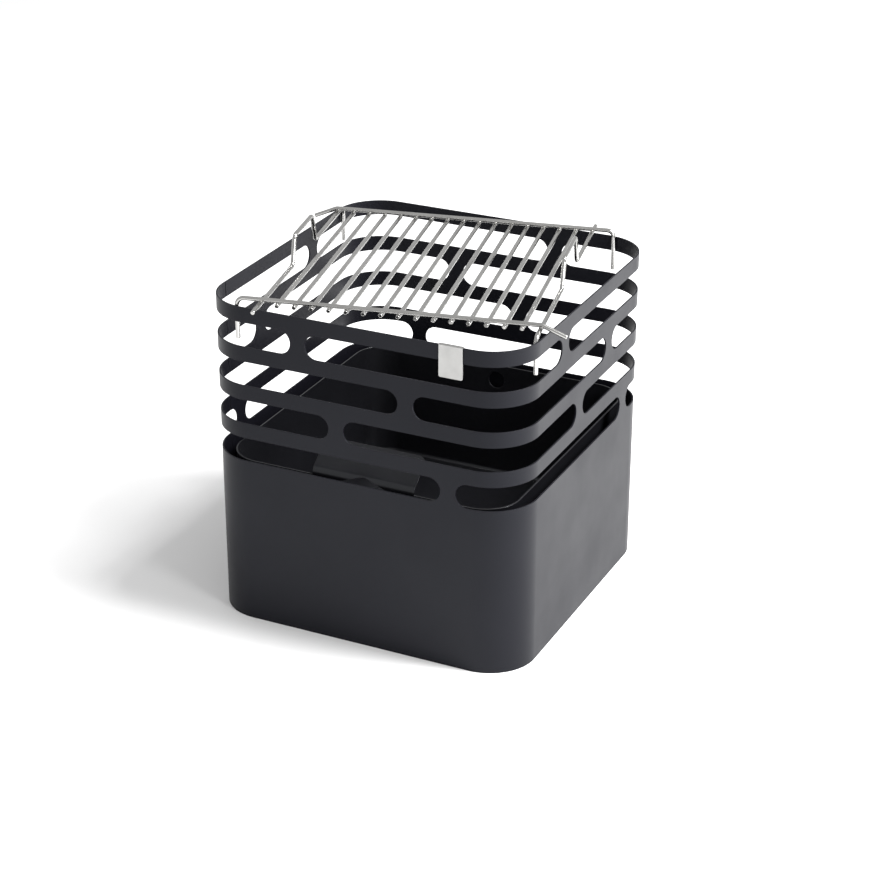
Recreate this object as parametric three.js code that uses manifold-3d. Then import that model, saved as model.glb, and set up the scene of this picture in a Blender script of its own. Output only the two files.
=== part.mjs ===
import * as THREE from 'three';
import * as BufferGeometryUtils from 'three/addons/utils/BufferGeometryUtils.js';
import Module from 'manifold-3d';

const wasm = await Module();
wasm.setup();

// Units are millimetres, +Z is up and the origin is the centre of the footprint.
// The front of the basket faces -Y.

// Casing: one bent sheet with four rows of slots.
const caseWidth = 420;
const caseDepth = 420;
const caseHeight = 420;
const cornerRadius = 60;
const sheet = 2;
const bandHeight = 19.5;
const slotHeight = 31;
const bridgeWidth = 19.5;

// Centre of the one bridge each row has per face, as a share of the face width.
// Counted from the top row down, positive towards the next face counter-clockwise.
const bridgeShares = [-0.179, 0.157, -0.062, 0.288];

// Fire bowl: a deep box standing free inside the casing.
const bowlSideGap = 18;
const bowlEndGap = 8;
const bowlCorner = 46;
const bowlRimDrop = 3;
const bowlFloorHeight = 60;
const bowlDraft = 0.06;
const bowlBend = 8;
const tightestBowlCorner = 4;
const bowlHoleDiameter = 23;
const bowlHoleDrop = 21;

// Lifting tab on the front wall of the bowl.
const tabWidth = 137;
const tabShift = 4;
const tabRise = 7;
const tabLength = 46;
const tabLean = 54;
const tabCorner = 12;
const gripWidth = 80;
const gripTop = 8.3;
const gripShoulder = -6;
const gripBottom = -16;
const gripRounding = 6;

// Ledges welded inside the casing that carry the bowl.
const ledgeWidth = 70;
const ledgeSeat = 10;
const ledgeLeaf = 34;
const ledgeSheet = 3;
const ledgeBend = 5;

// Name plate clipped over the front rim.
const plateWidth = 30.5;
const plateDrop = 41;
const plateTuck = 16;
const plateSheet = 1;
const plateCentre = 0.297;
const plateRounding = 2.5;
const plateFold = 1;

// Grate: round bars, two long ones laid across seventeen cross bars.
const barDiameter = 5.5;
const barCount = 17;
const grateSideRoom = 10.5;
const grateEndRoom = 12.1;
const barOverhang = 3.5;
const endOverhang = 17;
const hookOverhang = 20;
const legDepth = 52;
const legBend = 9;
const hookSlope = 0.42;
const hookStart = 1.4;
const hookBend = 8;
const grateTurn = 12;
const handleHeight = 36;
const handleFoot = 97;
const handleTop = 74;
const handleShift = 13;
const handleBend = 8;

// Clearances between neighbouring pieces.
const gap = 0.3;
const plateGap = 0.3;
const legGap = 0.7;

const slotRadius = slotHeight / 2;
const tabSink = 0.6 * sheet;
const barRadius = barDiameter / 2;
const rowPitch = bandHeight + slotHeight;
const arcSteps = 16;
const bendStep = 0.2;

// How far a cutting solid runs past the wall it cuts.
const cutMargin = 6;

// ---------------------------------------------------------------- helpers

function toSolid(geometry) {
  const plain = geometry.clone();
  plain.deleteAttribute('normal');
  plain.deleteAttribute('uv');
  const merged = BufferGeometryUtils.mergeVertices(plain, 1e-4);
  const mesh = new wasm.Mesh({
    numProp: 3,
    vertProperties: new Float32Array(merged.attributes.position.array),
    triVerts: new Uint32Array(merged.index.array),
  });
  mesh.merge();
  return new wasm.Manifold(mesh);
}

function toGeometry(solid) {
  const mesh = solid.getMesh();
  const geometry = new THREE.BufferGeometry();
  const position = new Float32Array(mesh.numVert * 3);
  for (let i = 0; i < mesh.numVert; i += 1) {
    for (let k = 0; k < 3; k += 1) {
      position[i * 3 + k] = mesh.vertProperties[i * mesh.numProp + k];
    }
  }
  geometry.setAttribute('position', new THREE.BufferAttribute(position, 3));
  geometry.setIndex(new THREE.BufferAttribute(new Uint32Array(mesh.triVerts), 1));
  geometry.computeVertexNormals();
  return geometry;
}

function boxSolid(x0, x1, y0, y1, z0, z1) {
  const geometry = new THREE.BoxGeometry(x1 - x0, y1 - y0, z1 - z0);
  geometry.translate((x0 + x1) / 2, (y0 + y1) / 2, (z0 + z1) / 2);
  return toSolid(geometry);
}

function rodSolid(radius, length, axis, x, y, z, steps = 32) {
  const geometry = new THREE.CylinderGeometry(radius, radius, length, steps);
  if (axis === 'x') geometry.rotateZ(Math.PI / 2);
  if (axis === 'z') geometry.rotateX(Math.PI / 2);
  geometry.translate(x, y, z);
  return toSolid(geometry);
}

// Outline of a rectangle with rounded corners, counter-clockwise from above.
function roundedOutline(width, depth, radius, steps = arcSteps) {
  const points = [];
  const hx = width / 2 - radius;
  const hy = depth / 2 - radius;
  const centres = [[hx, hy], [-hx, hy], [-hx, -hy], [hx, -hy]];
  centres.forEach(([cx, cy], quarter) => {
    for (let i = 0; i <= steps; i += 1) {
      const angle = (quarter + i / steps) * Math.PI / 2;
      points.push([cx + radius * Math.cos(angle), cy + radius * Math.sin(angle)]);
    }
  });
  return points;
}

// Closed solid through a stack of outlines that share one point count.
function loftSolid(rings) {
  const count = rings[0].points.length;
  const position = [];
  rings.forEach((ring) => ring.points.forEach(([x, y]) => position.push(x, y, ring.z)));
  const index = [];
  for (let r = 0; r + 1 < rings.length; r += 1) {
    for (let i = 0; i < count; i += 1) {
      const a = r * count + i;
      const b = r * count + (i + 1) % count;
      index.push(a, b, b + count, a, b + count, a + count);
    }
  }
  const last = (rings.length - 1) * count;
  for (let i = 1; i + 1 < count; i += 1) {
    index.push(0, i + 1, i);
    index.push(last, last + i, last + i + 1);
  }
  const geometry = new THREE.BufferGeometry();
  geometry.setAttribute('position', new THREE.Float32BufferAttribute(position, 3));
  geometry.setIndex(index);
  return toSolid(geometry);
}

function makeMesh(name, geometry, finish) {
  const material = new THREE.MeshStandardMaterial({
    color: finish.color,
    roughness: finish.roughness,
    metalness: finish.metalness,
  });
  material.name = finish.name;
  const mesh = new THREE.Mesh(geometry, material);
  mesh.name = name;
  return mesh;
}

const powderCoat = { name: 'powder_coat', color: 0x2a2b2e, roughness: 0.62, metalness: 0.1 };
const bowlSteel = { name: 'bowl_steel', color: 0x202124, roughness: 0.55, metalness: 0.3 };
const stainless = { name: 'stainless', color: 0xc9cac8, roughness: 0.28, metalness: 1.0 };
const satinPlate = { name: 'satin_plate', color: 0xd8d8d5, roughness: 0.38, metalness: 1.0 };

// ----------------------------------------------------------------- casing

function casingRing() {
  const outer = loftSolid([
    { points: roundedOutline(caseWidth, caseDepth, cornerRadius), z: 0 },
    { points: roundedOutline(caseWidth, caseDepth, cornerRadius), z: caseHeight },
  ]);
  const innerWidth = caseWidth - 2 * sheet;
  const innerDepth = caseDepth - 2 * sheet;
  const innerRadius = cornerRadius - sheet;
  const inner = loftSolid([
    { points: roundedOutline(innerWidth, innerDepth, innerRadius), z: -cutMargin },
    { points: roundedOutline(innerWidth, innerDepth, innerRadius), z: caseHeight + cutMargin },
  ]);
  return outer.subtract(inner);
}

// Slot round the front-right corner: from the front bridge to the right bridge.
function cornerSlot(share, zMiddle, width, depth) {
  const reach = cornerRadius + cutMargin;
  const startX = share * width + bridgeWidth / 2 + slotRadius;
  const endY = share * depth - bridgeWidth / 2 - slotRadius;
  const z0 = zMiddle - slotRadius;
  const z1 = zMiddle + slotRadius;
  const outX = width / 2 + cutMargin;
  const outY = -depth / 2 - cutMargin;
  const inX = width / 2 - reach;
  const inY = -depth / 2 + reach;
  const alongFront = boxSolid(startX, outX, outY, inY, z0, z1);
  const alongSide = boxSolid(inX, outX, outY, endY, z0, z1);
  const through = reach + cutMargin;
  const startEnd = rodSolid(slotRadius, through, 'y', startX, (outY + inY) / 2, zMiddle, 48);
  const finishEnd = rodSolid(slotRadius, through, 'x', (outX + inX) / 2, endY, zMiddle, 48);
  return alongFront.add(alongSide).add(startEnd).add(finishEnd);
}

function buildCasing() {
  let shell = casingRing();
  bridgeShares.forEach((share, row) => {
    const zMiddle = caseHeight - bandHeight - slotRadius - row * rowPitch;
    for (let face = 0; face < 4; face += 1) {
      const swapped = face % 2 === 1;
      const width = swapped ? caseDepth : caseWidth;
      const depth = swapped ? caseWidth : caseDepth;
      const slot = cornerSlot(share, zMiddle, width, depth);
      shell = shell.subtract(slot.rotate([0, 0, face * 90]));
    }
  });
  return makeMesh('casing_shell', toGeometry(shell), powderCoat);
}

// ------------------------------------------------------------------- bowl

const bowlWidth = caseWidth - 2 * (sheet + bowlSideGap);
const bowlDepth = caseDepth - 2 * (sheet + bowlEndGap);
const slotFoot = caseHeight - bridgeShares.length * rowPitch;
const bowlRim = slotFoot - bowlRimDrop;
const bowlBase = bowlFloorHeight;

// Half-width lost to the draft at a given height below the rim.
function draftAt(z) {
  return (bowlRim - z) * bowlDraft;
}

function bowlRing(z, inset, bendInset) {
  const loss = draftAt(z) + inset + bendInset;
  const radius = Math.max(bowlCorner - inset - bendInset, tightestBowlCorner);
  return {
    points: roundedOutline(bowlWidth - 2 * loss, bowlDepth - 2 * loss, radius),
    z,
  };
}

function bowlBody(inset, base, top, bend) {
  const rings = [];
  const steps = 6;
  for (let i = 0; i <= steps; i += 1) {
    const angle = (i / steps) * Math.PI / 2;
    const z = base + bend * (1 - Math.cos(angle));
    rings.push(bowlRing(z, inset, bend * (1 - Math.sin(angle))));
  }
  rings.push(bowlRing(top, inset, 0));
  return loftSolid(rings);
}

// Outline of the grip opening, seen from the front and measured up from the rim:
// a low gable with a soft top, over a flat bottom with rounded corners.
function gripOutline() {
  const half = gripWidth / 2;
  const turn = gripRounding;
  const slope = (gripTop - gripShoulder) / half;
  const shape = new THREE.Shape();
  shape.moveTo(-half + turn, gripBottom);
  shape.lineTo(half - turn, gripBottom);
  shape.quadraticCurveTo(half, gripBottom, half, gripBottom + turn);
  shape.lineTo(half, gripShoulder);
  shape.lineTo(turn, gripTop - slope * turn);
  shape.quadraticCurveTo(0, gripTop, -turn, gripTop - slope * turn);
  shape.lineTo(-half, gripShoulder);
  shape.lineTo(-half, gripBottom + turn);
  shape.quadraticCurveTo(-half, gripBottom, -half + turn, gripBottom);
  return shape;
}

function tabOutline() {
  const half = tabWidth / 2;
  const shape = new THREE.Shape();
  shape.moveTo(-half, -sheet);
  shape.lineTo(half, -sheet);
  shape.lineTo(half, tabLength - tabCorner);
  shape.absarc(half - tabCorner, tabLength - tabCorner, tabCorner, 0, Math.PI / 2, false);
  shape.lineTo(-half + tabCorner, tabLength);
  shape.absarc(-half + tabCorner, tabLength - tabCorner, tabCorner, Math.PI / 2, Math.PI, false);
  shape.lineTo(-half, -sheet);
  return shape;
}

// The tab rises straight from the rim to its fold, then leans into the bowl.
// The leaning plate starts a little below the fold, so that its foot lies inside the rise.
function liftingTab() {
  const lean = THREE.MathUtils.degToRad(tabLean);
  const half = tabWidth / 2;
  const outY = -bowlDepth / 2;
  const foldZ = bowlRim + tabRise;
  const plate = new THREE.ExtrudeGeometry(tabOutline(), {
    depth: sheet,
    bevelEnabled: false,
    curveSegments: 10,
  });
  plate.rotateX(Math.PI / 2 - lean);
  plate.translate(tabShift, outY + sheet, foldZ - tabSink);
  const foot = bowlRim - tabSink;
  const rise = boxSolid(tabShift - half, tabShift + half, outY, outY + sheet, foot, foldZ);
  return toSolid(plate).add(rise);
}

function gripCutter() {
  const cutter = new THREE.ExtrudeGeometry(gripOutline(), {
    depth: sheet + 2 * cutMargin,
    bevelEnabled: false,
    curveSegments: 8,
  });
  cutter.rotateX(Math.PI / 2);
  cutter.translate(tabShift, -bowlDepth / 2 + sheet + cutMargin, bowlRim);
  return toSolid(cutter);
}

function buildBowl() {
  const outer = bowlBody(0, bowlBase, bowlRim, bowlBend);
  const inner = bowlBody(sheet, bowlBase + sheet, bowlRim + cutMargin, bowlBend - sheet);
  let bowl = outer.subtract(inner).add(liftingTab());
  bowl = bowl.subtract(gripCutter());
  const holeZ = bowlRim - bowlHoleDrop;
  const hole = rodSolid(bowlHoleDiameter / 2, bowlCorner, 'y', 0, bowlDepth / 2, holeZ, 40);
  bowl = bowl.subtract(hole);
  return makeMesh('bowl_box', toGeometry(bowl), bowlSteel);
}

// ----------------------------------------------------------------- ledges

// Angle ledge for one wall, built on the front wall and turned into place.
// It reaches under the bowl's flat floor by the seat, whatever the gap beside the bowl.
function buildLedge(name, face) {
  const sideways = face % 2 === 1;
  const halfSpan = (sideways ? caseWidth : caseDepth) / 2;
  const wallY = -halfSpan + sheet + gap;
  const topZ = bowlBase - gap;
  const half = ledgeWidth / 2;
  const bend = ledgeBend;
  const floorHalf = (sideways ? bowlWidth : bowlDepth) / 2 - draftAt(bowlBase) - bowlBend;
  const tipY = -floorHalf + ledgeSeat;
  const shape = new THREE.Shape();
  shape.moveTo(wallY, topZ - ledgeLeaf);
  shape.lineTo(wallY + ledgeSheet, topZ - ledgeLeaf);
  shape.lineTo(wallY + ledgeSheet, topZ - ledgeSheet - bend);
  shape.quadraticCurveTo(
    wallY + ledgeSheet,
    topZ - ledgeSheet,
    wallY + ledgeSheet + bend,
    topZ - ledgeSheet,
  );
  shape.lineTo(tipY, topZ - ledgeSheet);
  shape.lineTo(tipY, topZ);
  shape.lineTo(wallY + ledgeSheet + bend, topZ);
  shape.quadraticCurveTo(wallY, topZ, wallY, topZ - ledgeSheet - bend);
  const geometry = new THREE.ExtrudeGeometry(shape, {
    depth: ledgeWidth,
    bevelEnabled: false,
    curveSegments: 8,
  });
  // The profile is drawn in Y and Z, so the extrusion is laid along X.
  geometry.applyMatrix4(new THREE.Matrix4().set(
    0, 0, 1, -half,
    1, 0, 0, 0,
    0, 1, 0, 0,
    0, 0, 0, 1,
  ));
  geometry.rotateZ(face * Math.PI / 2);
  return makeMesh(name, toGeometry(toSolid(geometry)), powderCoat);
}

// ------------------------------------------------------------- name plate

function buildPlate() {
  const centreX = plateCentre * caseWidth;
  const front = -caseDepth / 2;
  const outY = front - plateGap - plateSheet;
  const inY = front + sheet + plateGap + plateSheet;
  const topZ = caseHeight + plateGap + plateSheet;
  const lowZ = topZ - plateDrop;
  const tuckZ = topZ - plateTuck;
  const shape = new THREE.Shape();
  shape.moveTo(outY, lowZ);
  shape.lineTo(outY + plateSheet, lowZ);
  shape.lineTo(outY + plateSheet, topZ - plateSheet);
  shape.lineTo(inY - plateSheet, topZ - plateSheet);
  shape.lineTo(inY - plateSheet, tuckZ);
  shape.lineTo(inY, tuckZ);
  shape.lineTo(inY, topZ - plateFold);
  shape.quadraticCurveTo(inY, topZ, inY - plateFold, topZ);
  shape.lineTo(outY + plateFold, topZ);
  shape.quadraticCurveTo(outY, topZ, outY, topZ - plateFold);
  const strip = new THREE.ExtrudeGeometry(shape, {
    depth: plateWidth,
    bevelEnabled: false,
    curveSegments: 6,
  });
  strip.applyMatrix4(new THREE.Matrix4().set(
    0, 0, 1, centreX - plateWidth / 2,
    1, 0, 0, 0,
    0, 1, 0, 0,
    0, 0, 0, 1,
  ));
  const trim = roundedOutline(plateWidth, 2 * plateDrop, plateRounding, 6);
  const trimSolid = loftSolid([
    { points: trim, z: -plateTuck },
    { points: trim, z: plateTuck },
  ]).rotate([90, 0, 0]).translate([centreX, front, topZ]);
  const plate = toSolid(strip).intersect(trimSolid);
  return makeMesh('name_plate', toGeometry(plate), satinPlate);
}

// ------------------------------------------------------------------ grate

const crossZ = caseHeight + gap + barRadius;
const longZ = crossZ + barDiameter + gap;

// The outer cross bars and the long bars are set so that the corners where they cross, turned
// with the grate, keep their room to the casing's sides and ends whatever its width and depth.
const turnAngle = THREE.MathUtils.degToRad(grateTurn);
const sideReach = caseWidth / 2 - grateSideRoom;
const endReach = caseDepth / 2 - grateEndRoom;
const shared = Math.cos(2 * turnAngle);
const outerBar = (sideReach * Math.cos(turnAngle) - endReach * Math.sin(turnAngle)) / shared;
const longBar = (endReach * Math.cos(turnAngle) - sideReach * Math.sin(turnAngle)) / shared;
const barPitch = 2 * outerBar / (barCount - 1);

// Distance from a spot on the turned grate to the inner face of the casing wall.
// Positive inside the casing, negative once the spot is past the inner face.
function wallDistance(x, y) {
  const px = Math.abs(x * Math.cos(turnAngle) - y * Math.sin(turnAngle));
  const py = Math.abs(x * Math.sin(turnAngle) + y * Math.cos(turnAngle));
  const radius = cornerRadius - sheet;
  const dx = px - (caseWidth / 2 - cornerRadius);
  const dy = py - (caseDepth / 2 - cornerRadius);
  const outside = Math.hypot(Math.max(dx, 0), Math.max(dy, 0));
  const inside = Math.min(Math.max(dx, dy), 0);
  return radius - outside - inside;
}

// How far along a bar the wall distance falls to the wanted value.
function reachAlong(spot, clearance) {
  let near = 0;
  let far = 2 * Math.max(caseWidth, caseDepth);
  for (let i = 0; i < 50; i += 1) {
    const middle = (near + far) / 2;
    const [x, y] = spot(middle);
    if (wallDistance(x, y) > clearance) near = middle;
    else far = middle;
  }
  return near;
}

// Path through corner points with each inner corner rounded to an arc.
function roundedPath(corners) {
  const path = [];
  corners.forEach(({ point, bend }, i) => {
    const here = new THREE.Vector3(...point);
    if (!bend || i === 0 || i === corners.length - 1) {
      path.push(here);
      return;
    }
    const before = new THREE.Vector3(...corners[i - 1].point).sub(here).normalize();
    const after = new THREE.Vector3(...corners[i + 1].point).sub(here).normalize();
    const half = before.angleTo(after) / 2;
    const tangent = bend / Math.tan(half);
    const bisector = before.clone().add(after).normalize();
    const centre = here.clone().addScaledVector(bisector, bend / Math.sin(half));
    const start = here.clone().addScaledVector(before, tangent).sub(centre);
    const end = here.clone().addScaledVector(after, tangent).sub(centre);
    const sweep = Math.PI - 2 * half;
    const steps = Math.max(3, Math.ceil(sweep / bendStep));
    for (let k = 0; k <= steps; k += 1) {
      const t = k / steps;
      const a = Math.sin((1 - t) * sweep) / Math.sin(sweep);
      const b = Math.sin(t * sweep) / Math.sin(sweep);
      path.push(centre.clone().addScaledVector(start, a).addScaledVector(end, b));
    }
  });
  return path;
}

// Round bar with flat ends swept along a path that lies in one plane.
function barGeometry(path, side, steps = 16) {
  const position = [];
  const index = [];
  const across = side.clone().normalize();
  path.forEach((point, i) => {
    const back = path[Math.max(i - 1, 0)];
    const ahead = path[Math.min(i + 1, path.length - 1)];
    const along = ahead.clone().sub(back).normalize();
    const up = across.clone().cross(along).normalize();
    for (let k = 0; k < steps; k += 1) {
      const angle = k / steps * 2 * Math.PI;
      const spot = point.clone()
        .addScaledVector(across, barRadius * Math.cos(angle))
        .addScaledVector(up, barRadius * Math.sin(angle));
      position.push(spot.x, spot.y, spot.z);
    }
  });
  for (let i = 0; i + 1 < path.length; i += 1) {
    for (let k = 0; k < steps; k += 1) {
      const a = i * steps + k;
      const b = i * steps + (k + 1) % steps;
      index.push(a, b + steps, b, a, a + steps, b + steps);
    }
  }
  const last = (path.length - 1) * steps;
  for (let k = 1; k + 1 < steps; k += 1) {
    index.push(0, k, k + 1);
    index.push(last, last + k + 1, last + k);
  }
  const geometry = new THREE.BufferGeometry();
  geometry.setAttribute('position', new THREE.Float32BufferAttribute(position, 3));
  geometry.setIndex(index);
  return geometry;
}

function finishBar(name, path, side, halfTurn) {
  const geometry = barGeometry(path, side);
  if (halfTurn) geometry.rotateZ(Math.PI);
  geometry.rotateZ(turnAngle);
  geometry.computeVertexNormals();
  return makeMesh(name, geometry, stainless);
}

// Long bar: leg at its left end, hook over the rim at its right end.
function buildLongBar(name, halfTurn) {
  const y = -longBar;
  const legClearance = barRadius + legGap;
  const legX = -reachAlong((t) => [-t, y], legClearance);
  const hookX = reachAlong((t) => [t, y], -(sheet + hookOverhang));
  const hookTurn = outerBar + hookStart;
  const path = roundedPath([
    { point: [legX, y, longZ - legDepth] },
    { point: [legX, y, longZ], bend: legBend },
    { point: [hookTurn, y, longZ], bend: hookBend },
    { point: [hookX, y, longZ - hookSlope * (hookX - hookTurn)] },
  ]);
  return finishBar(name, path, new THREE.Vector3(0, 1, 0), halfTurn);
}

// Outer cross bar: rests on the front rim, carries a handle, leg at the back.
// Both handles sit the same way off the middle, so the half-turned bar has its own the other way.
function buildHandleBar(name, halfTurn) {
  const x = -outerBar;
  const legClearance = barRadius + legGap;
  const legY = reachAlong((t) => [x, t], legClearance);
  const endY = -reachAlong((t) => [x, -t], -(sheet + endOverhang));
  const topZ = crossZ + handleHeight;
  const middle = halfTurn ? -handleShift : handleShift;
  const path = roundedPath([
    { point: [x, endY, crossZ] },
    { point: [x, middle - handleFoot / 2, crossZ], bend: handleBend },
    { point: [x, middle - handleTop / 2, topZ], bend: handleBend },
    { point: [x, middle + handleTop / 2, topZ], bend: handleBend },
    { point: [x, middle + handleFoot / 2, crossZ], bend: handleBend },
    { point: [x, legY, crossZ], bend: legBend },
    { point: [x, legY, longZ - legDepth] },
  ]);
  return finishBar(name, path, new THREE.Vector3(1, 0, 0), halfTurn);
}

function buildCrossBar(name, x) {
  const reach = longBar + barOverhang;
  const path = [
    new THREE.Vector3(x, -reach, crossZ),
    new THREE.Vector3(x, reach, crossZ),
  ];
  return finishBar(name, path, new THREE.Vector3(1, 0, 0), false);
}

// --------------------------------------------------------------- assembly

const group = new THREE.Group();
group.name = 'fire_basket';
group.add(buildCasing());
group.add(buildPlate());
['front', 'right', 'back', 'left'].forEach((side, face) => {
  group.add(buildLedge(`bowl_ledge_${side}`, face));
});
group.add(buildBowl());
group.add(buildLongBar('grate_long_bar_front', false));
group.add(buildLongBar('grate_long_bar_back', true));
group.add(buildHandleBar('grate_handle_bar_left', false));
group.add(buildHandleBar('grate_handle_bar_right', true));
for (let i = 1; i < barCount - 1; i += 1) {
  const number = String(i).padStart(2, '0');
  group.add(buildCrossBar(`grate_cross_bar_${number}`, -outerBar + i * barPitch));
}

export default group;
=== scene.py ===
import math

import bpy
import numpy as np
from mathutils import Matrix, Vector


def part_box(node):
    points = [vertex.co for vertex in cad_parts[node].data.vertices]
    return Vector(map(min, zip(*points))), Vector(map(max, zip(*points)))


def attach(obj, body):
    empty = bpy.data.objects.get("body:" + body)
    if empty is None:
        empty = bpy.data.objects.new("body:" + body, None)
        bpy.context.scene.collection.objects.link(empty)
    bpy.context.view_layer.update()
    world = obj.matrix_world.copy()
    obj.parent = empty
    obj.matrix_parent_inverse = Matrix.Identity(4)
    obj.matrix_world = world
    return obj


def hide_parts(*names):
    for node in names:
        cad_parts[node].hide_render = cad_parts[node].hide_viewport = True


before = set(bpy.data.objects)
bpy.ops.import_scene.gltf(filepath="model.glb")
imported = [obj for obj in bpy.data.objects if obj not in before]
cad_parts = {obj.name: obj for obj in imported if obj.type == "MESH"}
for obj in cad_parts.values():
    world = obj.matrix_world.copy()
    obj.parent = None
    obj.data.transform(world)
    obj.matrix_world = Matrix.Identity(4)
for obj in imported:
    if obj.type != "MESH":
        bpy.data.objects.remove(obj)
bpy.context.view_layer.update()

print("frame loaded:", len(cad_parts), "nodes")

shot = {
    "aim": (0.0039, 0.0019, 0.194),
    "azimuth": 25.72,
    "elevation": 25.07,
    "distance": 2.862,
    "lens": 92.85,
    "sensor": 36.0,
}


def makeCamera(name, settings):
    data = bpy.data.cameras.new(name)
    data.lens = settings["lens"]
    data.sensor_width = settings["sensor"]
    camera = bpy.data.objects.new(name, data)
    bpy.context.scene.collection.objects.link(camera)
    turn = math.radians(settings["azimuth"])
    rise = math.radians(settings["elevation"])
    back = Vector((math.sin(turn) * math.cos(rise), -math.cos(turn) * math.cos(rise), math.sin(rise)))
    camera.location = Vector(settings["aim"]) + back * settings["distance"]
    camera.rotation_mode = "QUATERNION"
    camera.rotation_quaternion = (-back).to_track_quat("-Z", "Y")
    bpy.context.scene.camera = camera
    return camera


makeCamera("shotCamera", shot)
bpy.context.scene.view_settings.view_transform = "Standard"

studio = {
    "floorSize": 60.0,
    "floorColor": (0.95, 0.95, 0.95, 1.0),
    "worldColor": (1.0, 1.0, 1.0, 1.0),
    "worldStrength": 0.66,
    "keyPlace": (2.24, 0.50, 2.76),
    "keyAim": (0.0, 0.0, 0.1),
    "keySize": 1.5,
    "keyPower": 270.0,
    "sidePlace": (2.55, -1.20, 0.95),
    "sideSize": 0.7,
    "sidePower": 30.0,
}


def makeFloor(settings):
    half = settings["floorSize"] / 2
    corners = [(-half, -half, 0), (half, -half, 0), (half, half, 0), (-half, half, 0)]
    mesh = bpy.data.meshes.new("studioFloor")
    mesh.from_pydata(corners, [], [(0, 1, 2, 3)])
    floor = bpy.data.objects.new("studioFloor", mesh)
    bpy.context.scene.collection.objects.link(floor)
    paint = bpy.data.materials.new("floorPaint")
    paint.use_nodes = True
    shader = paint.node_tree.nodes["Principled BSDF"]
    shader.inputs["Base Color"].default_value = settings["floorColor"]
    shader.inputs["Roughness"].default_value = 1.0
    shader.inputs["Specular IOR Level"].default_value = 0.0
    mesh.materials.append(paint)


def makeLights(settings):
    world = bpy.data.worlds.new("studioWorld")
    world.use_nodes = True
    sky = world.node_tree.nodes["Background"]
    sky.inputs["Color"].default_value = settings["worldColor"]
    sky.inputs["Strength"].default_value = settings["worldStrength"]
    bpy.context.scene.world = world
    for part in ("key", "side"):
        lamp = bpy.data.lights.new(part + "Light", "AREA")
        lamp.shape = "DISK"
        lamp.size = settings[part + "Size"]
        lamp.energy = settings[part + "Power"]
        light = bpy.data.objects.new(part + "Light", lamp)
        bpy.context.scene.collection.objects.link(light)
        light.location = settings[part + "Place"]
        toward = Vector(settings["keyAim"]) - light.location
        light.rotation_mode = "QUATERNION"
        light.rotation_quaternion = toward.to_track_quat("-Z", "Y")


makeFloor(studio)
makeLights(studio)
print("camera, floor and lights are in place")


def unit(vectors):
    # Each row divided by its length; a row with no length stays zero.
    length = np.linalg.norm(vectors, axis=-1, keepdims=True)
    return vectors / np.maximum(length, 1e-12)


def roundRing(along, inset, size):
    # Rounded rectangle, walked counter-clockwise from the middle of its front side.
    # Point = corner centre + straight travel + (radius - inset) times the outward direction.
    width, depth, radius = size
    flatX, flatY, arc = width / 2 - radius, depth / 2 - radius, math.pi * radius / 2
    lengths = np.array([flatX, arc, 2 * flatY, arc, 2 * flatX, arc, 2 * flatY, arc, flatX])
    starts = np.concatenate([[0], np.cumsum(lengths)])
    total = starts[-1]
    centres = np.array([
        (0, -flatY), (flatX, -flatY), (flatX, -flatY), (flatX, flatY), (flatX, flatY),
        (-flatX, flatY), (-flatX, flatY), (-flatX, -flatY), (-flatX, -flatY),
    ])
    angles = np.radians([-90, -90, 0, 0, 90, 90, 180, 180, 270])
    heading = np.array([(1, 0), (0, 0), (0, 1), (0, 0), (-1, 0), (0, 0), (0, -1), (0, 0), (1, 0)])
    bent = np.array([0, 1, 0, 1, 0, 1, 0, 1, 0])
    travelled = np.mod(along, total)
    part = np.clip(np.searchsorted(starts, travelled, side="right") - 1, 0, 8)
    rest = travelled - starts[part]
    angle = angles[part] + bent[part] * rest / radius
    outward = np.stack([np.cos(angle), np.sin(angle)], -1)
    reach = (radius - inset)[..., None]
    return centres[part] + heading[part] * rest[..., None] + reach * outward, outward


def ringKnots(size):
    # Arc lengths where the rounded rectangle changes between straight and bent, and its total.
    width, depth, radius = size
    flatX, flatY, arc = width / 2 - radius, depth / 2 - radius, math.pi * radius / 2
    steps = np.array([flatX, arc, 2 * flatY, arc, 2 * flatX, arc, 2 * flatY, arc, flatX])
    knots = np.concatenate([[0], np.cumsum(steps)])
    return knots, knots[-1]


def fillKnots(knots, widest):
    # The knots with evenly spaced values between each two, never further apart than widest.
    knots = np.unique(np.round(knots, 7))
    runs = [
        np.linspace(a, b, max(1, math.ceil((b - a) / widest)), endpoint=False)
        for a, b in zip(knots[:-1], knots[1:])
    ]
    return np.concatenate([*runs, knots[-1:]])


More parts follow.
